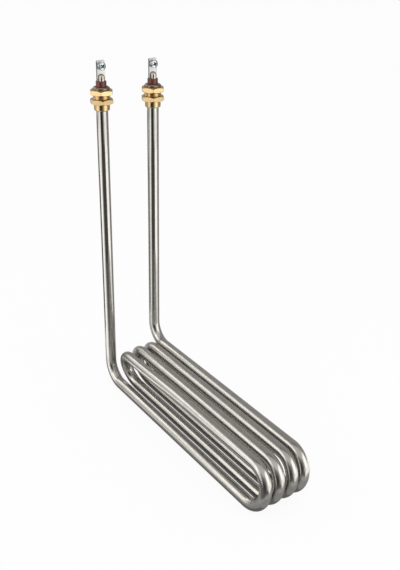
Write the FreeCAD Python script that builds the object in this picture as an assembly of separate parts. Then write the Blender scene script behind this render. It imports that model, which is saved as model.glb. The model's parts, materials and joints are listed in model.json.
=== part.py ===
import FreeCAD
import Part
import math
import os

# Tubular heating element of a deep fryer. A single tube is folded into upright loops that lie in the oil.
# Its two ends rise as legs, and each leg ends in a screwed fitting with a wire terminal.
# Millimetres. +Z is up, the loops follow one another along +X, and their front bends face -Y.
# The origin is on the surface that the coil stands on, under the middle of the whole element.

# Tube
TUBE_OD = 10.0
TUBE_WALL = 0.8

# Coil
LOOP_SPACES = (3.0, 3.2, 1.5)
LOOP_INNER_HEIGHT = 24.8
CLIMB_SHIFT = 5.2
RUN_LENGTH = 182.3
HIGH_RUN_DROPS = (2.4, 0.0, 0.0)
DROP_LENGTH = 100.0
ELBOW_INNER_RADIUS = 14.1

# Legs
LEG_TO_COIL_SPACE = 3.8
RIGHT_LEG_ADVANCE = 10.9
LEG_HEIGHT = 265.7

# Inside of the tube
COIL_D = 5.2
COLD_PIN_D = 3.2
COLD_PIN_LENGTH = 150.0
SEAL_HEIGHT = 6.0

# Screwed fitting, from the collar up
THREAD_D = 14.0
COLLAR_D = 13.3
COLLAR_HEIGHT = 5.5
COLLAR_CHAMFER = 0.8
NUT_ACROSS_FLATS = 18.0
NUT_HEIGHT = 4.4
NUT_FACE_INSET = 0.5
NUT_CHAMFER_ANGLE = 30.0
NUT_COUNTERSINK = 0.5
PANEL_SPACE = 3.0
TUBE_MOUTH_DEPTH = 5.0
END_RING_HEIGHT = 2.2
END_RING_CHAMFER = 0.9

# Wire terminal
INSULATOR_WALL = 0.5
INSULATOR_REACH = 4.6
POCKET_DEPTH = 2.5
PIN_HEAD_D = 5.0
PIN_HEAD_OFFSET = 1.3
PIN_HEAD_REACH = 5.7
TAB_WIDTH = 7.4
TAB_THICKNESS = 1.5
TAB_REACH = 16.3
TAB_CORNER_RADIUS = 0.8
SCREW_DROP = 4.4
SCREW_D = 3.5
SCREW_HEAD_D = 6.6
SCREW_HEAD_HEIGHT = 2.6
SCREW_RIM = 1.8
SCREW_TAIL = 2.5
WASHER_D = 7.2
WASHER_THICKNESS = 0.6

# Cross recess of the screw
RECESS_SPAN = 3.8
RECESS_TIP = 1.2
RECESS_WIDTH = 0.8
RECESS_DEPTH = 1.5

# Fits and small edges
CLOSE_GAP = 0.05
SLIP_GAP = 0.1
EDGE_BREAK = 0.3

# How each threaded piece stands, as it was screwed home: degrees about its own axis
LEFT_NUT_TURNS = (8.5, -0.5)
RIGHT_NUT_TURNS = (4.0, 1.5)
LEFT_SCREW_TURN = 45.0
RIGHT_SCREW_TURN = 30.0

# Derived sizes of the coil
TUBE_R = TUBE_OD / 2
BORE_R = TUBE_R - TUBE_WALL
LOOP_RISE = TUBE_OD + LOOP_INNER_HEIGHT
LOW_Z = TUBE_R
HIGH_Z = LOW_Z + LOOP_RISE
LOOP_PITCHES = [TUBE_OD + space for space in LOOP_SPACES]
ELBOW_R = ELBOW_INNER_RADIUS + TUBE_R
FRONT_BEND_R = math.hypot(LOOP_RISE, CLIMB_SHIFT) / 2
REAR_BEND_RADII = [
    math.hypot(LOOP_RISE - drop, pitch - CLIMB_SHIFT) / 2
    for pitch, drop in zip(LOOP_PITCHES, HIGH_RUN_DROPS)
]
REAR_BEND_R = max(REAR_BEND_RADII)

# Derived places. The two legs stand an equal distance either side of the origin.
COIL_WIDTH = CLIMB_SHIFT + sum(LOOP_PITCHES)
LEFT_X = -COIL_WIDTH / 2
RIGHT_X = COIL_WIDTH / 2
NUT_CORNER_R = NUT_ACROSS_FLATS / 2 / math.cos(math.radians(30))
LEG_TO_REAR_BENDS = TUBE_OD + LEG_TO_COIL_SPACE + REAR_BEND_R
FRONT_REACH = LEG_TO_REAR_BENDS + RUN_LENGTH + FRONT_BEND_R + TUBE_R
LEFT_Y = (FRONT_REACH - NUT_CORNER_R) / 2
RIGHT_Y = LEFT_Y - RIGHT_LEG_ADVANCE
REAR_Y = LEFT_Y - LEG_TO_REAR_BENDS
FRONT_Y = REAR_Y - RUN_LENGTH

# Derived heights of the fitting
LOWER_NUT_Z = LEG_HEIGHT + COLLAR_HEIGHT
SEAT_Z = LOWER_NUT_Z + NUT_HEIGHT
UPPER_NUT_Z = SEAT_Z + PANEL_SPACE
NIPPLE_TOP_Z = UPPER_NUT_Z + NUT_HEIGHT
TUBE_TOP_Z = NIPPLE_TOP_Z - TUBE_MOUTH_DEPTH
FILL_TOP_Z = TUBE_TOP_Z - SEAL_HEIGHT
COLD_END_Z = TUBE_TOP_Z - COLD_PIN_LENGTH
INSULATOR_TOP_Z = NIPPLE_TOP_Z + END_RING_HEIGHT + INSULATOR_REACH
POCKET_Z = INSULATOR_TOP_Z - POCKET_DEPTH
PIN_TOP_Z = INSULATOR_TOP_Z + PIN_HEAD_REACH
TAB_TOP_Z = INSULATOR_TOP_Z + TAB_REACH
SCREW_Z = TAB_TOP_Z - SCREW_DROP

# Derived radii of the fitting
THREAD_R = THREAD_D / 2
COLD_PIN_R = COLD_PIN_D / 2
PIN_HEAD_R = PIN_HEAD_D / 2
TAB_CORNER_REACH = math.hypot(TAB_WIDTH / 2, TAB_THICKNESS / 2)
INSULATOR_R = max(TAB_CORNER_REACH, PIN_HEAD_OFFSET + PIN_HEAD_R) + SLIP_GAP + INSULATOR_WALL

UP = FreeCAD.Vector(0, 0, 1)
FORWARD = FreeCAD.Vector(0, -1, 0)
BACK = FreeCAD.Vector(0, 1, 0)


def run(start, end):
    """Straight stretch of a centreline."""
    return Part.LineSegment(start, end).toShape()


def bend(start, end, heading):
    """Half turn between two parallel runs, which leaves its start along heading."""
    crown = (start + end) * 0.5 + heading * (start.distanceToPoint(end) / 2)
    return Part.Arc(start, crown, end).toShape()


def high_run(start, end):
    """Level stretch from start back to end. It eases down to a lower end over its last part, in two arcs."""
    drop = start.z - end.z
    if drop == 0:
        return [run(start, end)]
    knee = end - BACK * DROP_LENGTH + UP * drop
    crossing = (knee + end) * 0.5
    angle = 2 * math.atan(drop / DROP_LENGTH)
    arc_r = DROP_LENGTH / (2 * math.sin(angle))
    half_arc = BACK * (arc_r * math.sin(angle / 2)) - UP * (arc_r * (1 - math.cos(angle / 2)))
    return [
        run(start, knee),
        Part.Arc(knee, knee + half_arc, crossing).toShape(),
        Part.Arc(crossing, end - half_arc, end).toShape(),
    ]


def elbow(leg_x, leg_y, run_z):
    """Quarter turn from a run that comes from the front into the leg that rises from it."""
    centre = FreeCAD.Vector(leg_x, leg_y - ELBOW_R, run_z + ELBOW_R)
    foot = centre - UP * ELBOW_R
    middle = centre + (BACK - UP) * (ELBOW_R / math.sqrt(2))
    top = centre + BACK * ELBOW_R
    return Part.Arc(foot, middle, top).toShape()


def leg(x, y, run_z, top_z):
    """Straight leg from its elbow to a given height."""
    return run(FreeCAD.Vector(x, y, run_z + ELBOW_R), FreeCAD.Vector(x, y, top_z))


def climbing_bend(low_rear, high_x):
    """Low run from its rear end to the front, and the front bend that climbs to the next high run."""
    low_front = FreeCAD.Vector(low_rear.x, FRONT_Y, LOW_Z)
    high_front = FreeCAD.Vector(high_x, FRONT_Y, HIGH_Z)
    return high_front, [run(low_rear, low_front), bend(low_front, high_front, FORWARD)]


def coil_path(top_z):
    """Centreline from one height on the left leg, through all the loops, to the same height on the right.

    The rear bends all reach equally far back, whatever their radius.
    """
    edges = [leg(LEFT_X, LEFT_Y, LOW_Z, top_z), elbow(LEFT_X, LEFT_Y, LOW_Z)]
    low_rear = FreeCAD.Vector(LEFT_X, LEFT_Y - ELBOW_R, LOW_Z)
    for pitch, drop, bend_r in zip(LOOP_PITCHES, HIGH_RUN_DROPS, REAR_BEND_RADII):
        rear_y = REAR_Y + REAR_BEND_R - bend_r
        high_front, climb = climbing_bend(low_rear, low_rear.x + CLIMB_SHIFT)
        high_rear = FreeCAD.Vector(high_front.x, rear_y, HIGH_Z - drop)
        low_rear = FreeCAD.Vector(low_rear.x + pitch, rear_y, LOW_Z)
        edges += climb + high_run(high_front, high_rear)
        edges.append(bend(high_rear, low_rear, BACK))
    high_front, climb = climbing_bend(low_rear, RIGHT_X)
    edges += climb
    edges.append(run(high_front, FreeCAD.Vector(RIGHT_X, RIGHT_Y - ELBOW_R, HIGH_Z)))
    return edges + [elbow(RIGHT_X, RIGHT_Y, HIGH_Z), leg(RIGHT_X, RIGHT_Y, HIGH_Z, top_z)]


def section(centre, direction, outer_r, inner_r):
    """Round section across a centreline, with a round hole where inner_r isn't 0."""
    wires = [Part.Wire(Part.makeCircle(r, centre, direction)) for r in (outer_r, inner_r) if r > 0]
    return Part.makeFace(wires, "Part::FaceMakerBullseye")


def swept(edges, outer_r, inner_r=0.0):
    """Round bar or tube that follows straight and circular edges."""
    stretches = []
    for edge in edges:
        start = edge.valueAt(edge.FirstParameter)
        face = section(start, edge.tangentAt(edge.FirstParameter), outer_r, inner_r)
        if isinstance(edge.Curve, Part.Circle):
            angle = math.degrees(edge.Length / edge.Curve.Radius)
            stretches.append(face.revolve(edge.Curve.Center, edge.Curve.Axis, angle))
        else:
            stretches.append(face.extrude(edge.valueAt(edge.LastParameter) - start))
    return stretches[0].fuse(stretches[1:]) if len(stretches) > 1 else stretches[0]


def turned(outline):
    """Piece turned about the Z axis from an outline of (radius, height) points."""
    points = [FreeCAD.Vector(r, 0, z) for r, z in outline]
    face = Part.Face(Part.makePolygon(points + points[:1]))
    return face.revolve(FreeCAD.Vector(), UP, 360)


def tube_piece(outer_r, inner_r, low_z, high_z):
    """Plain ring or sleeve about the leg's axis."""
    return turned([(inner_r, low_z), (outer_r, low_z), (outer_r, high_z), (inner_r, high_z)])


def make_sheath():
    return swept(coil_path(TUBE_TOP_Z), TUBE_R, BORE_R)


def make_heating_coil():
    """The wound wire with the powder between its turns, as one bar of the winding's diameter."""
    return swept(coil_path(COLD_END_Z), COIL_D / 2)


def make_magnesia_fill():
    """The pressed powder: a sleeve round the winding, and a narrower-bored one round each cold pin."""
    fill_r = BORE_R - CLOSE_GAP
    parts = [swept(coil_path(COLD_END_Z), fill_r, COIL_D / 2 + CLOSE_GAP)]
    for x, y in ((LEFT_X, LEFT_Y), (RIGHT_X, RIGHT_Y)):
        sleeve = tube_piece(fill_r, COLD_PIN_R + CLOSE_GAP, COLD_END_Z, FILL_TOP_Z)
        parts.append(sleeve.translated(FreeCAD.Vector(x, y, 0)))
    return parts[0].fuse(parts[1:])


def make_nipple():
    """Threaded nipple. The tube is fixed in it from below, up to a shoulder under the insulator's bore."""
    bore_r = TUBE_R + CLOSE_GAP
    mouth_r = INSULATOR_R + SLIP_GAP
    collar_r = COLLAR_D / 2
    return turned([
        (bore_r, LEG_HEIGHT),
        (collar_r - COLLAR_CHAMFER, LEG_HEIGHT),
        (collar_r, LEG_HEIGHT + COLLAR_CHAMFER),
        (collar_r, LOWER_NUT_Z),
        (THREAD_R, LOWER_NUT_Z),
        (THREAD_R, NIPPLE_TOP_Z),
        (mouth_r, NIPPLE_TOP_Z),
        (mouth_r, TUBE_TOP_Z),
        (bore_r, TUBE_TOP_Z),
    ])


def make_nut(base_z, turn):
    """Hexagon nut with both faces chamfered, one corner at turn degrees from +X."""
    corners = [math.radians(turn + 60 * k) for k in range(7)]
    points = [(NUT_CORNER_R * math.cos(angle), NUT_CORNER_R * math.sin(angle)) for angle in corners]
    outline = [FreeCAD.Vector(x, y, base_z) for x, y in points]
    prism = Part.Face(Part.makePolygon(outline)).extrude(UP * NUT_HEIGHT)
    face_r = NUT_ACROSS_FLATS / 2 - NUT_FACE_INSET
    rim_r = NUT_CORNER_R + NUT_FACE_INSET
    slope = (rim_r - face_r) * math.tan(math.radians(NUT_CHAMFER_ANGLE))
    hole_r = THREAD_R + CLOSE_GAP
    top_z = base_z + NUT_HEIGHT
    envelope = turned([
        (hole_r + NUT_COUNTERSINK, base_z),
        (face_r, base_z),
        (rim_r, base_z + slope),
        (rim_r, top_z - slope),
        (face_r, top_z),
        (hole_r + NUT_COUNTERSINK, top_z),
        (hole_r, top_z - NUT_COUNTERSINK),
        (hole_r, base_z + NUT_COUNTERSINK),
    ])
    return prism.common(envelope)


def make_end_ring():
    """Chamfered ring on top of the nipple, round the insulator."""
    top_z = NIPPLE_TOP_Z + END_RING_HEIGHT
    inner_r = INSULATOR_R + SLIP_GAP
    return turned([
        (inner_r, NIPPLE_TOP_Z),
        (THREAD_R, NIPPLE_TOP_Z),
        (THREAD_R, top_z - END_RING_CHAMFER),
        (THREAD_R - END_RING_CHAMFER, top_z),
        (inner_r, top_z),
    ])


def tab_blank(grow=0.0):
    """Upright plate on the leg's axis, its faces along X. Its lower end is in the insulator's pocket."""
    width = TAB_WIDTH + 2 * grow
    thickness = TAB_THICKNESS + 2 * grow
    corner = FreeCAD.Vector(-width / 2, -thickness / 2, POCKET_Z)
    return Part.makeBox(width, thickness, TAB_TOP_Z - POCKET_Z, corner)


def head_blank(grow=0.0):
    """Round-topped head of the pin, flattened where the tab lies against it."""
    r = PIN_HEAD_R + grow
    foot = FreeCAD.Vector(0, -PIN_HEAD_OFFSET, POCKET_Z)
    shoulder_z = PIN_TOP_Z - PIN_HEAD_R
    dome = Part.makeSphere(r, FreeCAD.Vector(0, -PIN_HEAD_OFFSET, shoulder_z))
    head = Part.makeCylinder(r, shoulder_z - POCKET_Z, foot).fuse(dome)
    size = 2 * (PIN_TOP_Z - POCKET_Z + PIN_HEAD_D)
    front_y = -TAB_THICKNESS / 2
    behind = Part.makeBox(size, size, size, FreeCAD.Vector(-size / 2, front_y, POCKET_Z - size / 2))
    below = Part.makeBox(size, size, size, FreeCAD.Vector(-size / 2, -size / 2, POCKET_Z - size))
    return head.cut([behind, below])


def make_insulator():
    """Bush that stands on the tube's mouth, bored for the pin, with a pocket for its head and the tab."""
    top_z = INSULATOR_TOP_Z
    bush = turned([
        (COLD_PIN_R + CLOSE_GAP, TUBE_TOP_Z),
        (INSULATOR_R, TUBE_TOP_Z),
        (INSULATOR_R, top_z - EDGE_BREAK),
        (INSULATOR_R - EDGE_BREAK, top_z),
        (COLD_PIN_R + CLOSE_GAP, top_z),
    ])
    return bush.cut([tab_blank(SLIP_GAP), head_blank(SLIP_GAP)])


def make_end_seal():
    return tube_piece(BORE_R - CLOSE_GAP, COLD_PIN_R + CLOSE_GAP, FILL_TOP_Z, TUBE_TOP_Z)


def make_terminal_pin():
    """Cold pin from the end of the winding up through the insulator, with its head formed to one side."""
    stem = Part.makeCylinder(COLD_PIN_R, POCKET_Z - COLD_END_Z, FreeCAD.Vector(0, 0, COLD_END_Z))
    return stem.fuse(head_blank())


def make_terminal_tab():
    """Flat tab with rounded top corners and the screw's hole."""
    blank = tab_blank()
    uprights = [edge for edge in blank.Edges if is_top_corner(edge)]
    front = FreeCAD.Vector(0, -TAB_THICKNESS, SCREW_Z)
    hole = Part.makeCylinder(SCREW_D / 2 + CLOSE_GAP, 2 * TAB_THICKNESS, front, BACK)
    return blank.makeFillet(TAB_CORNER_RADIUS, uprights).cut(hole)


def is_top_corner(edge):
    """Short edge across the tab's thickness at its top."""
    along_y = abs(edge.tangentAt(edge.FirstParameter).y) > 0.99
    return along_y and edge.CenterOfMass.z > SCREW_Z


def facing_front(piece, distance):
    """A piece turned about Z is laid along -Y, with its base at a distance in front of the tab's middle."""
    piece.rotate(FreeCAD.Vector(), FreeCAD.Vector(1, 0, 0), 90)
    piece.translate(FreeCAD.Vector(0, -distance, SCREW_Z))
    return piece


def make_screw_washer():
    washer = tube_piece(WASHER_D / 2, SCREW_D / 2 + SLIP_GAP, 0, WASHER_THICKNESS)
    return facing_front(washer, TAB_THICKNESS / 2)


def make_recess(turn):
    """Cross recess cut down into the top of a screw's head: two crossing wings that taper to a tip."""
    floor_z = SCREW_HEAD_HEIGHT - RECESS_DEPTH
    open_z = SCREW_HEAD_HEIGHT + RECESS_DEPTH
    open_half = RECESS_SPAN / 2 + (RECESS_SPAN - RECESS_TIP) / 2
    wings = []
    for angle in (turn, turn + 90):
        half_outline = [(RECESS_TIP / 2, floor_z), (open_half, open_z)]
        corners = half_outline + [(-x, z) for x, z in reversed(half_outline)]
        points = [FreeCAD.Vector(x, -RECESS_WIDTH / 2, z) for x, z in corners]
        wing = Part.Face(Part.makePolygon(points + points[:1])).extrude(BACK * RECESS_WIDTH)
        wing.rotate(FreeCAD.Vector(), UP, angle)
        wings.append(wing)
    return wings


def make_terminal_screw(turn):
    """Pan head screw, its underside on the washer and its tail behind the tab."""
    head_r = SCREW_HEAD_D / 2
    rise = SCREW_HEAD_HEIGHT - SCREW_RIM
    dome_r = (head_r ** 2 + rise ** 2) / (2 * rise)
    dome = Part.makeSphere(dome_r, FreeCAD.Vector(0, 0, SCREW_HEAD_HEIGHT - dome_r))
    head = Part.makeCylinder(head_r, SCREW_HEAD_HEIGHT).common(dome).cut(make_recess(turn))
    shank_r = SCREW_D / 2
    end_z = -(WASHER_THICKNESS + TAB_THICKNESS + SCREW_TAIL)
    shank = turned([
        (0, end_z),
        (shank_r - EDGE_BREAK, end_z),
        (shank_r, end_z + EDGE_BREAK),
        (shank_r, 0),
        (0, 0),
    ])
    return facing_front(head.fuse(shank), TAB_THICKNESS / 2 + WASHER_THICKNESS)


def make_fitting(side, x, y, nut_turns, screw_turn):
    """Every piece on the end of one leg."""
    lower_turn, upper_turn = nut_turns
    pieces = {
        "nipple": make_nipple(),
        "lower_nut": make_nut(LOWER_NUT_Z, lower_turn),
        "upper_nut": make_nut(UPPER_NUT_Z, upper_turn),
        "end_ring": make_end_ring(),
        "end_seal": make_end_seal(),
        "insulator": make_insulator(),
        "terminal_pin": make_terminal_pin(),
        "terminal_tab": make_terminal_tab(),
        "screw_washer": make_screw_washer(),
        "terminal_screw": make_terminal_screw(screw_turn),
    }
    return {f"{side}_{name}": piece.translated(FreeCAD.Vector(x, y, 0)) for name, piece in pieces.items()}


def make_element():
    nodes = {
        "sheath_tube": make_sheath(),
        "heating_coil": make_heating_coil(),
        "magnesia_fill": make_magnesia_fill(),
    }
    nodes.update(make_fitting("left", LEFT_X, LEFT_Y, LEFT_NUT_TURNS, LEFT_SCREW_TURN))
    nodes.update(make_fitting("right", RIGHT_X, RIGHT_Y, RIGHT_NUT_TURNS, RIGHT_SCREW_TURN))
    return nodes


os.makedirs("parts", exist_ok=True)
for node, shape in make_element().items():
    shape.exportStep(f"parts/{node}.step")
    print(node, "solids", len(shape.Solids), "valid", shape.isValid(), "volume", round(shape.Volume, 2))
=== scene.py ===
import json
import math

import bmesh
import bpy
from mathutils import Matrix, Vector


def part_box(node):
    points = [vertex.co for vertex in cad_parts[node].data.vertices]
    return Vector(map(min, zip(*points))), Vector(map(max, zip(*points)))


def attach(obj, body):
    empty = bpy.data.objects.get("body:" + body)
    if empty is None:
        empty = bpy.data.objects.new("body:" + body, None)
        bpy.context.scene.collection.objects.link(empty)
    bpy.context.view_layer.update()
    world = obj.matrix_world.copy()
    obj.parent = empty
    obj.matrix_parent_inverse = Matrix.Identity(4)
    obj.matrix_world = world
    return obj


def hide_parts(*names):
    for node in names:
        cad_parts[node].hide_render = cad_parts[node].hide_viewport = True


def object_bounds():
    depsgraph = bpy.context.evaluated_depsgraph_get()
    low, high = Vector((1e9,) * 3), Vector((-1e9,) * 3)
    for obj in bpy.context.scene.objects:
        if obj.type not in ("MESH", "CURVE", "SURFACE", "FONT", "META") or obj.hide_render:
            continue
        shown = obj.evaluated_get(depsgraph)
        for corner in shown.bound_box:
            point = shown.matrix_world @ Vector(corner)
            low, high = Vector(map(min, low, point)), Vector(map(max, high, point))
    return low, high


# The looks of a tubular heating element for a deep fryer: one steel tube in upright loops, with two
# legs that end in brass fittings with screw terminals. Metres. +Z is up, and the front bends face -Y.

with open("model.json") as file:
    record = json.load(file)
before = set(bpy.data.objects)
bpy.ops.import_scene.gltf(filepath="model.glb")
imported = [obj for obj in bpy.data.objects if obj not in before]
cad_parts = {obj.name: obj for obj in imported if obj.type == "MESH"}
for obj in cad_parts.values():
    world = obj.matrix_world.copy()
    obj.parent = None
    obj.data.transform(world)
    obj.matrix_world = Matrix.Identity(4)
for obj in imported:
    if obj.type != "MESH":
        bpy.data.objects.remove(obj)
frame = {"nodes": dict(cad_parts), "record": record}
CAD_LOW, CAD_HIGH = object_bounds()
MM = 0.001

# Camera, as the photograph was taken
PHOTO_HEIGHT = 570
FOCAL_PIXELS = 755.28
SENSOR = 36.0
CAMERA_PLACE = Vector((-0.31976, -0.44463, 0.41536))
CAMERA_YAW = math.radians(-35.851)
CAMERA_DOWN = math.radians(26.294)
CAMERA_ROLL = math.radians(1.346)
CAMERA_CLIP = 0.01

# Tube
TUBE_R = 5.0 * MM
TUBE_BORE_R = 4.2 * MM
ELBOW_R = 19.1 * MM
LOOP_PITCHES = (13.0 * MM, 13.2 * MM, 11.5 * MM)
HIGH_RUN_DROPS = (2.4 * MM, 0.0, 0.0)
DROP_LENGTH = 100.0 * MM
TUNNEL_MARGIN = 0.5 * MM
TUBE_SIDES = 64
BEND_STEP = math.radians(4.5)
RUN_STEP = 12 * MM

# Turned pieces
TURNED_SIDES = 96
EDGE_ROUND = 0.15 * MM
ROUND_STEPS = 3
RING_DRIFT = 0.1 * MM

# Edges: how much of a side its rounded corner may take, the angle above which a corner counts as
# straight, and the angles from which an edge is shaded sharp or gets a bevel
ROUND_SHARE = 0.4
STRAIGHT_CORNER = math.radians(170)
SHARP_EDGE = math.radians(38)
BEVELLED_EDGE = math.radians(50)

# Points closer than the first are joined. The second is less than any real size.
SAME_POINT = 1e-7
HAIR = 1e-9

# Nuts, each with the way it stands when tight: degrees from +X to a corner
NUT_TURNS = {
    "left_lower_nut": 8.5,
    "left_upper_nut": -0.5,
    "right_lower_nut": 4.0,
    "right_upper_nut": 1.5,
}
NUT_ACROSS_FLATS = 18.0 * MM
NUT_FACE_INSET = 0.5 * MM
NUT_CHAMFER = math.radians(30)
NUT_COUNTERSINK = 0.5 * MM
NUT_CORNER_ROUND = 0.35 * MM
NUT_CORNER_OFFS = (0, 0.6, 1.2, 1.8, 2.4, 3.2, 5, 9, 15, 22)

# Nipple and its thread
NIPPLE_BORE_R = 5.05 * MM
NIPPLE_MOUTH_DEPTH = 5.0 * MM
COLLAR_R = 6.65 * MM
COLLAR_HEIGHT = 5.5 * MM
COLLAR_CHAMFER = 0.8 * MM
THREAD_PITCH = 1.0 * MM
THREAD_DEPTH = 0.3 * MM
THREAD_GROOVE = 0.5
THREAD_ROWS = 12

# End ring and wire terminal
CLOSE_GAP = 0.05 * MM
SLIP_GAP = 0.1 * MM
END_RING_CHAMFER = 0.9 * MM
TAB_EDGE_ROUND = 0.15 * MM
SCREW_TURNS = {"left": 45.0, "right": 30.0}
SCREW_R = 1.75 * MM
SCREW_HEAD_HEIGHT = 2.6 * MM
SCREW_RIM = 1.8 * MM
SCREW_DOME_STEPS = 8
SCREW_PITCH = 0.6 * MM
SCREW_THREAD_DEPTH = 0.18 * MM
RECESS_SPAN = 4.0 * MM
RECESS_TIP = 1.2 * MM
RECESS_WIDTH = 1.1 * MM
RECESS_DEPTH = 1.5 * MM

# Noise mostly lies between these values
NOISE_LOW = 0.3
NOISE_HIGH = 0.7

# Drawn steel of the tube. Grains are per metre: across the tube twice, then along it.
STEEL_DARK = (0.45, 0.43, 0.395)
STEEL_BRIGHT = (0.51, 0.495, 0.465)
STEEL_ROUGH = (0.07, 0.10)
STREAK_GRAIN = (2200, 2200, 25)
STREAK_DEPTH = 0.001 * MM
MOTTLE_GRAIN = 160
MOTTLE_DEPTH = 0.004 * MM
# The heated part is rougher than the legs by this much, and between these heights that fades out
COIL_DULLNESS = 0.14
DULL_BELOW = 45 * MM
BRIGHT_ABOVE = 120 * MM

# Each other finish: darker tone, brighter tone, roughness of the shiniest and of the dullest places
BRASS = ((0.57, 0.41, 0.195), (0.63, 0.46, 0.25), (0.14, 0.24))
RING_STEEL = ((0.20, 0.14, 0.10), (0.31, 0.23, 0.175), (0.25, 0.4))
INSULATOR = ((0.085, 0.011, 0.004), (0.14, 0.022, 0.008), (0.28, 0.42))
NICKEL = ((0.48, 0.43, 0.375), (0.56, 0.51, 0.45), (0.18, 0.3))
TAB_PLATING = ((0.38, 0.37, 0.35), (0.44, 0.43, 0.41), (0.25, 0.38))
SCREW_PLATING = ((0.46, 0.495, 0.50), (0.54, 0.575, 0.58), (0.15, 0.26))
# Painted shade: the walls of the screws' cross recess get this far darker tone in place of the shade
# inside the recess
SCREW_RECESS_SHADE = ((0.05, 0.065, 0.07), (0.10, 0.125, 0.13), (0.3, 0.45))
WIRE_IN_POWDER = ((0.30, 0.29, 0.27), (0.45, 0.43, 0.40), (0.5, 0.7))
MAGNESIA = ((0.62, 0.60, 0.55), (0.78, 0.76, 0.70), (0.7, 0.9))
END_SEAL = ((0.50, 0.12, 0.07), (0.58, 0.16, 0.10), (0.4, 0.55))

# Painted shade on the tab's left and right sides: their near-black tone, and how far a surface has to
# face left or right to get it
TAB_SIDE_SHADE = (0.07, 0.068, 0.065)
SIDE_SHADE_FROM = 0.6
SIDE_SHADE_FULL = 0.85

# Fine surface of the other finishes: grains per metre and depths
LATHE_RINGS = 6000
LATHE_DEPTH = 0.004 * MM
LATHE_CLOUDS = 300
PLATING_CLOUDS = 500
TAB_CLOUDS = 260
PIT_GRAIN = 5000
PIT_DEPTH = 0.003 * MM
CAST_DEPTH = 0.01 * MM
GLAZE_ROUGHNESS = 0.12

# Studio: light on the object, pale floor, and how much the floor itself glows for the eye and the metal
WORLD_LEVEL = 0.75
FLOOR_COLOUR = (0.92, 0.92, 0.915)
FLOOR_GLOW = 0.92
FLOOR_HALF = 6.0
# Each softbox: direction round the object and height above it in degrees, then its distance, width,
# height and radiance
SOFTBOXES = {
    "left softbox": (-110, 30, 0.70, 0.42, 0.40, 1.10),
    "right softbox": (27, 26, 0.70, 0.56, 0.58, 1.30),
    "rear softbox": (-152, 39, 0.90, 0.70, 0.20, 1.15),
}
# Each grey card that lies flat: sector from and to in degrees, nearest and farthest, height, tone
FLAT_CARDS = {
    "near camera floor card": (-68, -17, 0.0, 0.3, 0.0, 0.18),
    "camera floor card": (-68, -17, 0.3, 1.3, 0.0, 0.10),
    "front left floor card": (-84, -68, 0.0, 1.3, 0.0, 0.80),
    "front floor card": (-17, 1, 0.0, 1.3, 0.0, 0.12),
    "right floor card": (54, 112, 0.0, 1.3, 0.0, 0.38),
    "rear floor card": (112, 206, 0.0, 1.3, 0.0, 0.60),
    "rear left floor card": (206, 238, 0.12, 1.3, 0.0, 0.12),
    "left reflector": (-122, -84, 0.0, 1.3, 0.0, 1.90),
    "near right reflector": (1, 54, 0.0, 0.28, 0.0, 1.45),
    "right reflector": (1, 54, 0.28, 1.3, 0.0, 1.90),
    "left ceiling card": (-130, 64, 0.0, 2.0, 1.9, 0.80),
    "right ceiling card": (64, 230, 0.0, 2.0, 1.9, 0.24),
}
# Each grey upright card: sector from and to in degrees, lower and upper edge in degrees, tone
WALL_CARDS = {
    "camera card": (-74, -26, 0, 22, 0.05),
    "upper camera card": (-74, -26, 22, 34, 0.22),
    "top camera card": (-74, -26, 34, 42, 0.45),
    "front card": (-26, -14, 0, 42, 0.35),
    "front middle card": (-14, -4, 0, 42, 0.70),
    "front right card": (-4, 4, 0, 42, 1.05),
    "front left card": (-90, -74, 0, 46, 1.25),
    "upper front card": (-96, -6, 42, 60, 0.90),
    "left card": (-104, -90, 0, 34, 1.65),
    "right card": (56, 184, 0, 66, 0.43),
    "rear left card": (-178, -134, 18, 44, 1.25),
    "low rear left card": (-178, -134, 8, 18, 0.72),
    "lowest rear left card": (-178, -134, 0, 8, 0.32),
    "high rear left card": (-178, -134, 44, 54, 0.85),
    "low left card": (-134, -104, 6, 20, 0.95),
    "card behind the left softbox": (-134, -104, 20, 46, 0.85),
    "card behind the right softbox": (4, 56, 6, 56, 0.90),
    "lowest right card": (4, 54, 0, 6, 1.60),
    "lowest left card": (-134, -104, 0, 6, 1.70),
}
# Distance of the upright cards, and the degrees between two corners of a curved edge
WALL_R = 0.75
CARD_STEP = 5
# Each card beneath the coil, a dark sheet that paints the object's shadow on the floor as the metal
# sees it, darkest nearest the object: margins round the object to the left, front, right and rear, then
# the tone
SHADOW_CARDS = (
    (0.0, 0.0, 0.0, 0.0, 0.20),
    (0.015, 0.030, 0.020, 0.020, 0.42),
    (0.030, 0.080, 0.045, 0.060, 0.60),
)
CARD_LIFT = 0.1 * MM


def middle(node):
    """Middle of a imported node's box, in X and Y."""
    low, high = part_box(node)
    return (low.x + high.x) / 2, (low.y + high.y) / 2


def mesh_piece(name, points, faces, attribute=None):
    """Object made of points and faces, smooth apart from its sharp edges.

    Doubled points are joined and faces turned outward. attribute gives a vector to keep for each point.
    """
    mesh = bpy.data.meshes.new(name)
    mesh.from_pydata([tuple(point) for point in points], [], faces)
    if attribute:
        values = [value for place in attribute for value in place]
        mesh.attributes.new("made", "FLOAT_VECTOR", "POINT").data.foreach_set("vector", values)
    work = bmesh.new()
    work.from_mesh(mesh)
    bmesh.ops.remove_doubles(work, verts=work.verts, dist=SAME_POINT)
    bmesh.ops.recalc_face_normals(work, faces=work.faces)
    work.to_mesh(mesh)
    work.free()
    mesh.shade_smooth()
    mesh.set_sharp_from_angle(angle=SHARP_EDGE)
    piece = bpy.data.objects.new(name, mesh)
    bpy.context.scene.collection.objects.link(piece)
    return piece


def even_faces(piece):
    """Keeps the wide faces flat to the eye beside their rounded edges."""
    weighted = piece.modifiers.new("even faces", "WEIGHTED_NORMAL")
    weighted.mode = "FACE_AREA"
    weighted.weight = 100
    weighted.keep_sharp = True


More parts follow.
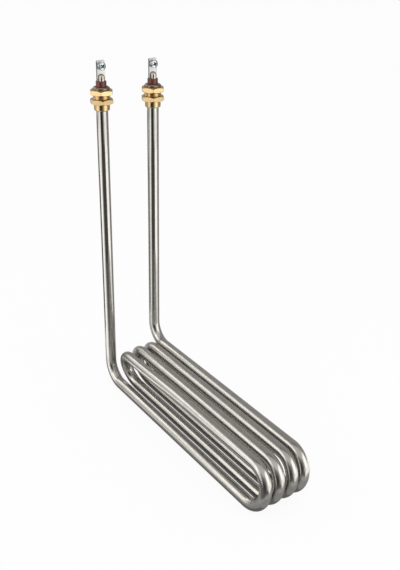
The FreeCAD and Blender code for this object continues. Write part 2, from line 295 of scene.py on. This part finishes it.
def rounded(outline, radius=EDGE_ROUND):
    """Closed outline of (r, z) points with a small curve in place of each corner."""
    made = []
    count = len(outline)
    for k in range(count):
        before, corner, after = (Vector(outline[i % count]) for i in (k - 1, k, k + 1))
        to_before, to_after = before - corner, after - corner
        reach = min(radius, ROUND_SHARE * to_before.length, ROUND_SHARE * to_after.length)
        if corner.x < HAIR or to_before.angle(to_after) > STRAIGHT_CORNER:
            made.append(tuple(corner))
            continue
        start = corner + to_before.normalized() * reach
        end = corner + to_after.normalized() * reach
        for i in range(ROUND_STEPS + 1):
            t = i / ROUND_STEPS
            point = start * (1 - t) ** 2 + corner * 2 * t * (1 - t) + end * t ** 2
            made.append((point.x, point.y))
    return made


def revolved(name, place, outline_at, angles=None):
    """Piece turned about its own Z axis.

    outline_at gives the closed (r, z) outline at each angle, always with the same number of points.
    """
    if angles is None:
        angles = [2 * math.pi * i / TURNED_SIDES for i in range(TURNED_SIDES)]
    points, faces, made = [], [], []
    for angle in angles:
        outline = outline_at(angle)
        size = len(outline)
        points += [place @ Vector((r * math.cos(angle), r * math.sin(angle), z)) for r, z in outline]
        made += [(r, z, angle * RING_DRIFT) for r, z in outline]
    for i in range(len(angles)):
        ahead = (i + 1) % len(angles)
        for k in range(size):
            nxt = (k + 1) % size
            faces.append((i * size + k, ahead * size + k, ahead * size + nxt, i * size + nxt))
    piece = mesh_piece(name, points, faces, made)
    even_faces(piece)
    return piece


def upright(x, y, z=0.0):
    return Matrix.Translation((x, y, z))


def facing_front(x, y, z):
    """Place for a piece whose own Z axis points to the front."""
    return Matrix.Translation((x, y, z)) @ Matrix.Rotation(math.pi / 2, 4, "X")


def dress(piece, material, slot, *nodes):
    """Gives a piece its material, the body that carries it and the nodes it replaces. The slot is not
    used.
    """
    if material:
        piece.data.materials.clear()
        piece.data.materials.append(material)
    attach(piece, "root")
    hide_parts(*nodes)
    return piece


def tube_route():
    """Stations along the tube's centreline, from the top of the left leg to that of the right one."""
    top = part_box("sheath_tube")[1].z
    left_x, left_y = middle("left_nipple")
    right_x, right_y = middle("right_nipple")
    openings = {item["name"]: item["box_m"] for item in frame["record"]["physics"]["openings"]}
    (_, front_y, _), (_, rear_y, tunnel_top) = openings["coil_tunnel"]
    low_z = TUBE_R
    high_z = tunnel_top + TUNNEL_MARGIN + max(HIGH_RUN_DROPS) + TUBE_R
    climb = right_x - left_x - sum(LOOP_PITCHES)
    rises = [high_z - drop - low_z for drop in HIGH_RUN_DROPS]
    bend_radii = [math.hypot(rise, pitch - climb) / 2 for rise, pitch in zip(rises, LOOP_PITCHES)]
    forward, back, up = Vector((0, -1, 0)), Vector((0, 1, 0)), Vector((0, 0, 1))
    route = [Vector((left_x, left_y, top))]

    def straight(*end):
        start, end = route[-1], Vector(end)
        count = math.ceil((end - start).length / RUN_STEP)
        route.extend(start.lerp(end, i / count) for i in range(1, count + 1))

    def arc(centre, start_arm, end_arm, angle):
        count = math.ceil(angle * max(1 / BEND_STEP, start_arm.length / RUN_STEP))
        for i in range(1, count + 1):
            a = angle * i / count
            route.append(centre + start_arm * math.cos(a) + end_arm * math.sin(a))

    def half_turn(end, heading):
        centre = (route[-1] + end) / 2
        start_arm = route[-1] - centre
        arc(centre, start_arm, heading * start_arm.length, math.pi)

    def ease_down(end, drop):
        turn = 2 * math.atan(drop / DROP_LENGTH)
        arc_r = DROP_LENGTH / (2 * math.sin(turn))
        start = end - back * DROP_LENGTH + up * drop
        straight(*start)
        arc(start - up * arc_r, up * arc_r, back * arc_r, turn)
        centre = end + up * arc_r
        arc(centre, route[-1] - centre, (back * math.cos(turn) - up * math.sin(turn)) * arc_r, turn)

    straight(left_x, left_y, low_z + ELBOW_R)
    left_centre = Vector((left_x, left_y - ELBOW_R, low_z + ELBOW_R))
    arc(left_centre, back * ELBOW_R, -up * ELBOW_R, math.pi / 2)
    x = left_x
    for pitch, drop, bend_r in zip(LOOP_PITCHES, HIGH_RUN_DROPS, bend_radii):
        straight(x, front_y, low_z)
        half_turn(Vector((x + climb, front_y, high_z)), forward)
        end_y = rear_y + max(bend_radii) - bend_r
        if drop:
            ease_down(Vector((x + climb, end_y, high_z - drop)), drop)
        else:
            straight(x + climb, end_y, high_z)
        x += pitch
        half_turn(Vector((x, end_y, low_z)), back)
    straight(x, front_y, low_z)
    half_turn(Vector((right_x, front_y, high_z)), forward)
    straight(right_x, right_y - ELBOW_R, high_z)
    right_centre = Vector((right_x, right_y - ELBOW_R, high_z + ELBOW_R))
    arc(right_centre, -up * ELBOW_R, back * ELBOW_R, math.pi / 2)
    straight(right_x, right_y, top)
    return route


def make_tube(material):
    """Hollow tube along its route. Its attribute made gives each point's place across and along it."""
    route = tube_route()
    last = len(route) - 1
    tangents = [(route[min(k + 1, last)] - route[max(k - 1, 0)]).normalized() for k in range(last + 1)]
    points, faces, made = [], [], []
    side = Vector((1, 0, 0))
    along = 0.0
    for k, centre in enumerate(route):
        if k:
            side = tangents[k - 1].rotation_difference(tangents[k]) @ side
            along += (centre - route[k - 1]).length
        side = (side - tangents[k] * side.dot(tangents[k])).normalized()
        across = tangents[k].cross(side)
        for radius in (TUBE_R, TUBE_BORE_R):
            for i in range(TUBE_SIDES):
                angle = 2 * math.pi * i / TUBE_SIDES
                c, s = math.cos(angle), math.sin(angle)
                points.append(centre + (side * c + across * s) * radius)
                made.append((radius * c, radius * s, along))
    ring = 2 * TUBE_SIDES
    for i in range(TUBE_SIDES):
        j = (i + 1) % TUBE_SIDES
        outer, bore = (i, j), (TUBE_SIDES + j, TUBE_SIDES + i)
        for k in range(last):
            for a, b in (outer, bore):
                faces.append((k * ring + a, k * ring + b, k * ring + ring + b, k * ring + ring + a))
        for k in (0, last):
            faces.append(tuple(k * ring + a for a in outer + bore))
    piece = mesh_piece("tube_steel", points, faces, made)
    return dress(piece, material, "tube_stainless", "sheath_tube")


def hexagon_reach(angle):
    """Distance from a nut's axis to its side at an angle from a corner. The corners are rounded."""
    flat_r = NUT_ACROSS_FLATS / 2
    from_flat = angle % (math.pi / 3) - math.pi / 6
    off = math.pi / 6 - abs(from_flat)
    centre = (flat_r - NUT_CORNER_ROUND) / math.cos(math.pi / 6)
    touch = math.atan2(NUT_CORNER_ROUND / 2, centre + NUT_CORNER_ROUND * math.cos(math.pi / 6))
    if off < touch:
        return centre * math.cos(off) + math.sqrt(NUT_CORNER_ROUND ** 2 - (centre * math.sin(off)) ** 2)
    return flat_r / math.cos(from_flat)


def make_nut(node, material):
    """Hexagon nut with chamfered faces and a countersunk hole."""
    low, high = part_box(node)
    x, y = middle(node.split("_")[0] + "_nipple")
    face_r = NUT_ACROSS_FLATS / 2 - NUT_FACE_INSET
    hole_r = thread_outer_r() + CLOSE_GAP
    offs = sorted({sign * off % 60 for off in NUT_CORNER_OFFS for sign in (1, -1)} | {30})
    angles = [math.radians(60 * corner + off) for corner in range(6) for off in offs]

    def outline_at(angle):
        reach = hexagon_reach(angle)
        drop = (reach - face_r) * math.tan(NUT_CHAMFER)
        return rounded([
            (hole_r + NUT_COUNTERSINK, low.z),
            (face_r, low.z),
            (reach, low.z + drop),
            (reach, high.z - drop),
            (face_r, high.z),
            (hole_r + NUT_COUNTERSINK, high.z),
            (hole_r, high.z - NUT_COUNTERSINK),
            (hole_r, low.z + NUT_COUNTERSINK),
        ])

    place = upright(x, y) @ Matrix.Rotation(math.radians(NUT_TURNS[node]), 4, "Z")
    return dress(revolved(f"{node}_brass", place, outline_at, angles), material, "brass", node)


def thread_outer_r():
    low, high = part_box("left_nipple")
    return (high.x - low.x) / 2


def thread_r(turns, radius, depth):
    """Radius at a place along a thread, in turns: a flat crest, then a V groove."""
    place = turns % 1.0
    if place > THREAD_GROOVE:
        return radius
    return radius - depth * (1 - abs(2 * place / THREAD_GROOVE - 1))


def thread(angle, start, end, radius, pitch, depth):
    """Outline points of a right-handed thread between two heights, at one angle."""
    rows = round(THREAD_ROWS * abs(end - start) / pitch)
    points = []
    for k in range(rows + 1):
        z = start + (end - start) * k / rows
        points.append((thread_r(z / pitch - angle / (2 * math.pi), radius, depth), z))
    return points


def make_nipple(side, material):
    """Collar and threaded neck, with the tube's bore and a wider mouth for the insulator."""
    node = f"{side}_nipple"
    low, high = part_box(node)
    outer_r = thread_outer_r()
    bush_low, bush_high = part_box(f"{side}_insulator")
    mouth_r = (bush_high.x - bush_low.x) / 2 + SLIP_GAP
    mouth_z = high.z - NIPPLE_MOUTH_DEPTH
    shoulder_z = low.z + COLLAR_HEIGHT
    collar = rounded([
        (NIPPLE_BORE_R, low.z),
        (COLLAR_R - COLLAR_CHAMFER, low.z),
        (COLLAR_R, low.z + COLLAR_CHAMFER),
        (COLLAR_R, shoulder_z),
        (outer_r, shoulder_z),
    ], 2 * EDGE_ROUND)
    # The last corner only shapes the one before it. The neck starts in its place.
    collar = [(r, z) for r, z in collar if z < shoulder_z - HAIR or r < COLLAR_R + HAIR]

    def outline_at(angle):
        neck = thread(angle, shoulder_z, high.z, outer_r, THREAD_PITCH, THREAD_DEPTH)
        mouth = [(mouth_r, high.z), (mouth_r, mouth_z), (NIPPLE_BORE_R, mouth_z)]
        return collar + neck + mouth

    piece = revolved(f"{node}_threaded", upright(*middle(node)), outline_at)
    return dress(piece, material, "brass", node)


def make_end_ring(side, material):
    """Chamfered ring on top of the nipple."""
    node = f"{side}_end_ring"
    low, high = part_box(node)
    bush_low, bush_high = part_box(f"{side}_insulator")
    inner_r = (bush_high.x - bush_low.x) / 2 + SLIP_GAP
    outer_r = (high.x - low.x) / 2
    outline = rounded([
        (inner_r, low.z),
        (outer_r, low.z),
        (outer_r, high.z - END_RING_CHAMFER),
        (outer_r - END_RING_CHAMFER, high.z),
        (inner_r, high.z),
    ])
    piece = revolved(f"{node}_turned", upright(*middle(node)), lambda angle: outline)
    return dress(piece, material, "ring_steel", node)


def make_washer(side, material):
    """Flat washer under the screw's head."""
    node = f"{side}_screw_washer"
    low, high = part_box(node)
    x, z = (low.x + high.x) / 2, (low.z + high.z) / 2
    outline = rounded([
        (SCREW_R + SLIP_GAP, 0),
        ((high.x - low.x) / 2, 0),
        ((high.x - low.x) / 2, high.y - low.y),
        (SCREW_R + SLIP_GAP, high.y - low.y),
    ])
    piece = revolved(f"{node}_rounded", facing_front(x, high.y, z), lambda angle: outline)
    return dress(piece, material, "screw_zinc", node)


def recess_cutter(turn):
    """One wing of the cross recess, in the screw's own place: a blade that narrows to its tip."""
    floor_z = SCREW_HEAD_HEIGHT - RECESS_DEPTH
    open_z = SCREW_HEAD_HEIGHT + RECESS_DEPTH
    tip, half = RECESS_TIP / 2, RECESS_SPAN / 2 + (RECESS_SPAN - RECESS_TIP) / 2
    corners = [(-tip, floor_z), (tip, floor_z), (half, open_z), (-half, open_z)]
    turned = Matrix.Rotation(math.radians(turn), 4, "Z")
    points = []
    for y in (-RECESS_WIDTH / 2, RECESS_WIDTH / 2):
        points += [turned @ Vector((x, y, z)) for x, z in corners]
    faces = [(3, 2, 1, 0), (4, 5, 6, 7)]
    faces += [(k, (k + 1) % 4, (k + 1) % 4 + 4, k + 4) for k in range(4)]
    return points, faces


def cut(piece, points, faces, material):
    """Cuts a solid, given by its points and faces, out of a piece. The cut's walls get the material."""
    cutter = mesh_piece("cutter", points, faces)
    cutter.data.materials.append(material)
    boolean = piece.modifiers.new("cut", "BOOLEAN")
    boolean.object = cutter
    boolean.operation = "DIFFERENCE"
    boolean.solver = "EXACT"
    boolean.material_mode = "TRANSFER"
    piece.modifiers.move(len(piece.modifiers) - 1, 0)
    shown = piece.evaluated_get(bpy.context.evaluated_depsgraph_get())
    mesh = bpy.data.meshes.new_from_object(shown)
    piece.modifiers.clear()
    piece.data = mesh
    bpy.data.objects.remove(cutter)


def make_screw(side, material, recess_shade_material):
    """Pan head screw with a cross recess and a threaded shank. The recess walls get a darker material
    that paints the shade inside the recess.
    """
    node = f"{side}_terminal_screw"
    low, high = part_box(node)
    x, z = (low.x + high.x) / 2, (low.z + high.z) / 2
    head_y = low.y + SCREW_HEAD_HEIGHT
    head_r = (high.x - low.x) / 2
    rise = SCREW_HEAD_HEIGHT - SCREW_RIM
    dome_r = (head_r ** 2 + rise ** 2) / (2 * rise)
    end = -(high.y - head_y)
    dome = []
    for k in range(SCREW_DOME_STEPS + 1):
        r = head_r * (1 - k / SCREW_DOME_STEPS)
        dome.append((r, SCREW_HEAD_HEIGHT - dome_r + math.sqrt(dome_r ** 2 - r ** 2)))
    tip = SCREW_R - SCREW_THREAD_DEPTH

    def outline_at(angle):
        shank = thread(angle, end + SCREW_THREAD_DEPTH, 0, SCREW_R, SCREW_PITCH, SCREW_THREAD_DEPTH)
        head = rounded([(SCREW_R, 0), (head_r, 0)] + dome, 2 * EDGE_ROUND)
        return [(0, end), (tip, end)] + shank + head

    piece = revolved(f"{node}_head", Matrix(), outline_at)
    piece.data.materials.append(material)
    for turn in (SCREW_TURNS[side], SCREW_TURNS[side] + 90):
        cut(piece, *recess_cutter(turn), recess_shade_material)
    piece.data.transform(facing_front(x, head_y, z))
    piece.data.set_sharp_from_angle(angle=SHARP_EDGE)
    even_faces(piece)
    return dress(piece, None, "screw_zinc", node)


def round_edges(node, width):
    """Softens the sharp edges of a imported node."""
    bevel = frame["nodes"][node].modifiers.new("edges", "BEVEL")
    bevel.width = width
    bevel.segments = 2
    bevel.limit_method = "ANGLE"
    bevel.angle_limit = BEVELLED_EDGE
    even_faces(frame["nodes"][node])


class Paint:
    """One material and short names for the nodes that it is made of."""

    def __init__(self, name):
        self.material = bpy.data.materials.new(name)
        self.material.use_nodes = True
        self.tree = self.material.node_tree
        self.surface = self.tree.nodes["Principled BSDF"]

    def node(self, kind, **values):
        made = self.tree.nodes.new(f"ShaderNode{kind}")
        for key, value in values.items():
            setattr(made, key, value)
        return made

    def join(self, output, socket):
        self.tree.links.new(output, socket)

    def set(self, **values):
        for key, value in values.items():
            self.surface.inputs[key.replace("_", " ")].default_value = value

    def places(self, stretch, attribute=None):
        """Places on the object, or in an attribute, in units of a grain that is 1 / stretch metres."""
        scale = self.node("VectorMath", operation="MULTIPLY")
        scale.inputs[1].default_value = stretch
        if attribute:
            source = self.node("Attribute", attribute_name=attribute).outputs["Vector"]
        else:
            source = self.node("TexCoord").outputs["Object"]
        self.join(source, scale.inputs[0])
        return scale.outputs[0]

    def noise(self, places, detail=3.0, roughness=0.5):
        made = self.node("TexNoise")
        made.inputs["Scale"].default_value = 1.0
        made.inputs["Detail"].default_value = detail
        made.inputs["Roughness"].default_value = roughness
        self.join(places, made.inputs["Vector"])
        return made.outputs["Fac"]

    def between(self, value, low, high, start=NOISE_LOW, end=NOISE_HIGH):
        """Number that goes from low to high as value goes from start to end."""
        made = self.node("MapRange")
        for socket, number in zip(made.inputs[1:5], (start, end, low, high)):
            socket.default_value = number
        self.join(value, made.inputs["Value"])
        return made.outputs["Result"]

    def blend(self, value, first, second):
        """Colour between two colours."""
        made = self.node("Mix", data_type="RGBA")
        for socket, colour in zip((made.inputs[6], made.inputs[7]), (first, second)):
            if isinstance(colour, tuple):
                socket.default_value = (*colour, 1)
            else:
                self.join(colour, socket)
        self.join(value, made.inputs[0])
        return made.outputs[2]

    def along(self, axis, kind="Object"):
        """One axis of the places on the object, or of another kind of coordinates."""
        split = self.node("SeparateXYZ")
        self.join(self.node("TexCoord").outputs[kind], split.inputs[0])
        return split.outputs[axis]

    def reckon(self, operation, *values):
        """Number that a Math node makes of other numbers."""
        made = self.node("Math", operation=operation)
        for value, socket in zip(values, made.inputs):
            self.join(value, socket)
        return made.outputs[0]

    def sideways(self):
        """Number that is 1 where the surface faces left or right and 0 where it faces elsewhere."""
        turned = self.reckon("ABSOLUTE", self.along("X", "Normal"))
        return self.between(turned, 0, 1, SIDE_SHADE_FROM, SIDE_SHADE_FULL)

    def finish(self, tone, rough):
        """Gives the surface its colour and its roughness."""
        self.join(tone, self.surface.inputs["Base Color"])
        self.join(rough, self.surface.inputs["Roughness"])

    def bump(self, height, depth, under=None):
        """Surface height in metres, depth being the most that it stands out."""
        made = self.node("Bump")
        made.inputs["Strength"].default_value = 1.0
        made.inputs["Distance"].default_value = depth
        self.join(height, made.inputs["Height"])
        if under:
            self.join(under, made.inputs["Normal"])
        self.join(made.outputs["Normal"], self.surface.inputs["Normal"])
        return made.outputs["Normal"]


def drawn_steel():
    """Drawn stainless steel: streaks along the tube, soft mottling, and a coil duller than the legs."""
    paint = Paint("drawn stainless steel")
    paint.set(Metallic=1.0)
    streaks = paint.noise(paint.places(STREAK_GRAIN, "made"), detail=4.0, roughness=0.6)
    mottle = paint.noise(paint.places([MOTTLE_GRAIN] * 3), detail=5.0, roughness=0.6)
    tone = paint.blend(paint.between(mottle, 0, 1), STEEL_DARK, STEEL_BRIGHT)
    dull = paint.between(paint.along("Z"), COIL_DULLNESS, 0, DULL_BELOW, BRIGHT_ABOVE)
    paint.finish(tone, paint.reckon("ADD", paint.between(streaks, *STEEL_ROUGH), dull))
    paint.bump(streaks, STREAK_DEPTH, paint.bump(mottle, MOTTLE_DEPTH))
    return paint.material


def turned_metal(name, dark, bright, rough):
    """Machined metal: fine lathe rings, cloudy tone and uneven shine."""
    paint = Paint(name)
    paint.set(Metallic=1.0)
    rings = paint.noise(paint.places([LATHE_RINGS] * 3, "made"), detail=2.0)
    clouds = paint.noise(paint.places([LATHE_CLOUDS] * 3), detail=4.0, roughness=0.6)
    tone = paint.blend(paint.between(clouds, 0, 1), dark, bright)
    paint.finish(tone, paint.between(clouds, rough[1], rough[0]))
    paint.bump(rings, LATHE_DEPTH)
    return paint.material


def plated_metal(name, dark, bright, rough, cloud=PLATING_CLOUDS, side_shade=None):
    """Plated metal: cloudy tone, fine pits and uneven shine. A side shade tone, where given, goes on
    the surfaces that face left or right as painted shade.
    """
    paint = Paint(name)
    paint.set(Metallic=1.0)
    clouds = paint.noise(paint.places([cloud] * 3), detail=4.0, roughness=0.6)
    pits = paint.noise(paint.places([PIT_GRAIN] * 3), detail=2.0)
    tone = paint.blend(paint.between(clouds, 0, 1), dark, bright)
    # Painted shade: the faces that turn left or right get the dark side tone
    if side_shade:
        tone = paint.blend(paint.sideways(), tone, side_shade)
    paint.finish(tone, paint.between(clouds, rough[1], rough[0]))
    paint.bump(pits, PIT_DEPTH)
    return paint.material


def cast_solid(name, dark, bright, rough, grain, coat=0.0):
    """Ceramic, powder or rubber: speckled tone and a grainy surface, glazed where coat is above 0."""
    paint = Paint(name)
    paint.set(Coat_Weight=coat, Coat_Roughness=GLAZE_ROUGHNESS)
    speckle = paint.noise(paint.places([grain] * 3), detail=5.0, roughness=0.65)
    tone = paint.blend(paint.between(speckle, 0, 1), dark, bright)
    paint.finish(tone, paint.between(speckle, rough[1], rough[0]))
    paint.bump(speckle, CAST_DEPTH)
    return paint.material


def finish_node(node, material):
    """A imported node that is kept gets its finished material."""
    kept = frame["nodes"][node]
    for held in kept.material_slots:
        held.material = material


def make_object():
    steel = drawn_steel()
    brass = turned_metal("brass", *BRASS)
    ring_steel = turned_metal("burnished ring steel", *RING_STEEL)
    glaze = cast_solid("red-brown insulator", *INSULATOR, grain=900, coat=0.2)
    nickel = plated_metal("nickel", *NICKEL)
    # The tab's left and right sides get painted shade
    tab_zinc = plated_metal("tab plating", *TAB_PLATING, TAB_CLOUDS, TAB_SIDE_SHADE)
    screw_zinc = plated_metal("screw plating", *SCREW_PLATING)
    # Darkened screw plating for the recess walls: painted shade inside the cross recess
    recess = plated_metal("painted shade in the screw recess", *SCREW_RECESS_SHADE)
    wire = cast_solid("resistance wire in powder", *WIRE_IN_POWDER, grain=2500)
    powder = cast_solid("pressed magnesia", *MAGNESIA, grain=3000)
    silicone = cast_solid("end seal", *END_SEAL, grain=1200)

    make_tube(steel)
    for node in NUT_TURNS:
        make_nut(node, brass)
    for side in ("left", "right"):
        make_nipple(side, brass)
        make_end_ring(side, ring_steel)
        make_washer(side, screw_zinc)
        make_screw(side, screw_zinc, recess)
        finish_node(f"{side}_insulator", glaze)
        finish_node(f"{side}_terminal_pin", nickel)
        finish_node(f"{side}_terminal_tab", tab_zinc)
        round_edges(f"{side}_terminal_tab", TAB_EDGE_ROUND)
        finish_node(f"{side}_end_seal", silicone)
    finish_node("heating_coil", wire)
    finish_node("magnesia_fill", powder)


def heading(azimuth):
    """Level direction at an azimuth in degrees, 0 towards the front and positive towards +X."""
    a = math.radians(azimuth)
    return Vector((math.sin(a), -math.cos(a), 0))


def shown_to_eye(tree):
    """Value of 1 for what the camera sees, directly or in metal or glass."""
    path = tree.nodes.new("ShaderNodeLightPath")
    total = path.outputs["Is Camera Ray"]
    for name in ("Is Glossy Ray", "Is Transmission Ray"):
        add = tree.nodes.new("ShaderNodeMath")
        add.operation = "ADD"
        add.use_clamp = True
        tree.links.new(total, add.inputs[0])
        tree.links.new(path.outputs[name], add.inputs[1])
        total = add.outputs[0]
    return total


def make_world():
    world = bpy.data.worlds.new("soft studio")
    bpy.context.scene.world = world
    world.use_nodes = True
    tree = world.node_tree
    background = tree.nodes["Background"]
    background.inputs["Color"].default_value = (1, 1, 1, 1)
    level = tree.nodes.new("ShaderNodeMapRange")
    level.inputs["To Min"].default_value = WORLD_LEVEL
    level.inputs["To Max"].default_value = 1.0
    tree.links.new(shown_to_eye(tree), level.inputs["Value"])
    tree.links.new(level.outputs["Result"], background.inputs["Strength"])


def make_floor():
    """Pale floor that keeps the object's soft shadow."""
    half = FLOOR_HALF
    mesh = bpy.data.meshes.new("floor")
    corners = [(-half, -half, 0), (half, -half, 0), (half, half, 0), (-half, half, 0)]
    mesh.from_pydata(corners, [], [(0, 1, 2, 3)])
    floor = bpy.data.objects.new("floor", mesh)
    bpy.context.scene.collection.objects.link(floor)
    paint = Paint("pale floor")
    nodes = paint.tree.nodes
    matt = nodes.new("ShaderNodeBsdfDiffuse")
    matt.inputs["Color"].default_value = (*FLOOR_COLOUR, 1)
    glow = nodes.new("ShaderNodeEmission")
    share = nodes.new("ShaderNodeMath")
    share.operation = "MULTIPLY"
    share.inputs[1].default_value = FLOOR_GLOW
    mix = nodes.new("ShaderNodeMixShader")
    paint.join(shown_to_eye(paint.tree), share.inputs[0])
    paint.join(share.outputs[0], mix.inputs[0])
    paint.join(matt.outputs[0], mix.inputs[1])
    paint.join(glow.outputs[0], mix.inputs[2])
    paint.join(mix.outputs[0], nodes["Material Output"].inputs["Surface"])
    nodes.remove(paint.surface)
    mesh.materials.append(paint.material)


def make_card(name, points, faces, tone):
    """Grey card that only the metal's reflections show."""
    mesh = bpy.data.meshes.new(name)
    mesh.from_pydata([tuple(point) for point in points], [], faces)
    card = bpy.data.objects.new(name, mesh)
    bpy.context.scene.collection.objects.link(card)
    paint = Paint(name)
    grey = paint.node("Emission")
    grey.inputs["Color"].default_value = (1, 1, 1, 1)
    grey.inputs["Strength"].default_value = tone
    paint.join(grey.outputs[0], paint.tree.nodes["Material Output"].inputs["Surface"])
    paint.tree.nodes.remove(paint.surface)
    mesh.materials.append(paint.material)
    card.visible_camera = False
    card.visible_diffuse = False
    card.visible_transmission = False
    card.visible_shadow = False


def sector(start, end, near, far):
    """Strip between two curves given by the direction, near and far giving the two points at each."""
    count = max(2, round((end - start) / CARD_STEP))
    points = []
    for i in range(count + 1):
        direction = heading(start + (end - start) * i / count)
        points += [near(direction), far(direction)]
    faces = [(2 * i, 2 * i + 2, 2 * i + 3, 2 * i + 1) for i in range(count)]
    return points, faces


def make_cards():
    """Grey cards and reflectors round the object, where the studio is seen in the metal, and dark cards
    beneath the coil that paint its shadow there.
    """
    between_legs = (middle("left_nipple")[1] + middle("right_nipple")[1]) / 2
    for name, (start, end, near, far, height, tone) in FLAT_CARDS.items():
        centre = Vector((0, between_legs, height + CARD_LIFT))
        strip = sector(start, end, lambda d: centre + d * near, lambda d: centre + d * far)
        make_card(name, *strip, tone)
    for name, (start, end, low, high, tone) in WALL_CARDS.items():
        bottom = Vector((0, 0, WALL_R * math.tan(math.radians(low))))
        top = Vector((0, 0, WALL_R * math.tan(math.radians(high))))
        strip = sector(start, end, lambda d: d * WALL_R + bottom, lambda d: d * WALL_R + top)
        make_card(name, *strip, tone)
    # Painted shadow: dark cards beneath the object, seen only in the metal, darkest nearest it
    for k, (left, front, right, rear, tone) in enumerate(SHADOW_CARDS):
        low_x, low_y = CAD_LOW[0] - left, CAD_LOW[1] - front
        high_x, high_y = CAD_HIGH[0] + right, CAD_HIGH[1] + rear
        z = (len(SHADOW_CARDS) + 1 - k) * CARD_LIFT
        corners = [(low_x, low_y, z), (high_x, low_y, z), (high_x, high_y, z), (low_x, high_y, z)]
        make_card(f"painted shadow under the coil {k}", corners, [(0, 1, 2, 3)], tone)


def make_softboxes():
    for name, (azimuth, elevation, distance, width, height, radiance) in SOFTBOXES.items():
        lamp = bpy.data.lights.new(name, "AREA")
        lamp.shape = "RECTANGLE"
        lamp.size = width
        lamp.size_y = height
        # The power of an even, flat light is its radiance times pi times its area
        lamp.energy = radiance * math.pi * width * height
        lamp_object = bpy.data.objects.new(name, lamp)
        bpy.context.scene.collection.objects.link(lamp_object)
        e = math.radians(elevation)
        out = heading(azimuth) * math.cos(e) + Vector((0, 0, math.sin(e)))
        turn = out.to_track_quat("Z", "Y").to_matrix().to_4x4()
        lamp_object.matrix_world = Matrix.Translation(out * distance) @ turn


def make_camera():
    ahead = Vector((
        -math.sin(CAMERA_YAW) * math.cos(CAMERA_DOWN),
        math.cos(CAMERA_YAW) * math.cos(CAMERA_DOWN),
        -math.sin(CAMERA_DOWN),
    ))
    level_right = Vector((math.cos(CAMERA_YAW), math.sin(CAMERA_YAW), 0))
    level_up = level_right.cross(ahead)
    right = level_right * math.cos(CAMERA_ROLL) + level_up * math.sin(CAMERA_ROLL)
    up = right.cross(ahead)
    lens = bpy.data.cameras.new("camera")
    lens.sensor_width = SENSOR
    lens.lens = FOCAL_PIXELS * SENSOR / PHOTO_HEIGHT
    lens.clip_start = CAMERA_CLIP
    camera = bpy.data.objects.new("camera", lens)
    bpy.context.scene.collection.objects.link(camera)
    turn = Matrix((right, up, -ahead)).transposed().to_4x4()
    camera.matrix_world = Matrix.Translation(CAMERA_PLACE) @ turn
    bpy.context.scene.camera = camera


make_object()
make_world()
make_floor()
make_softboxes()
make_cards()
make_camera()
bpy.context.scene.view_settings.view_transform = "Standard"
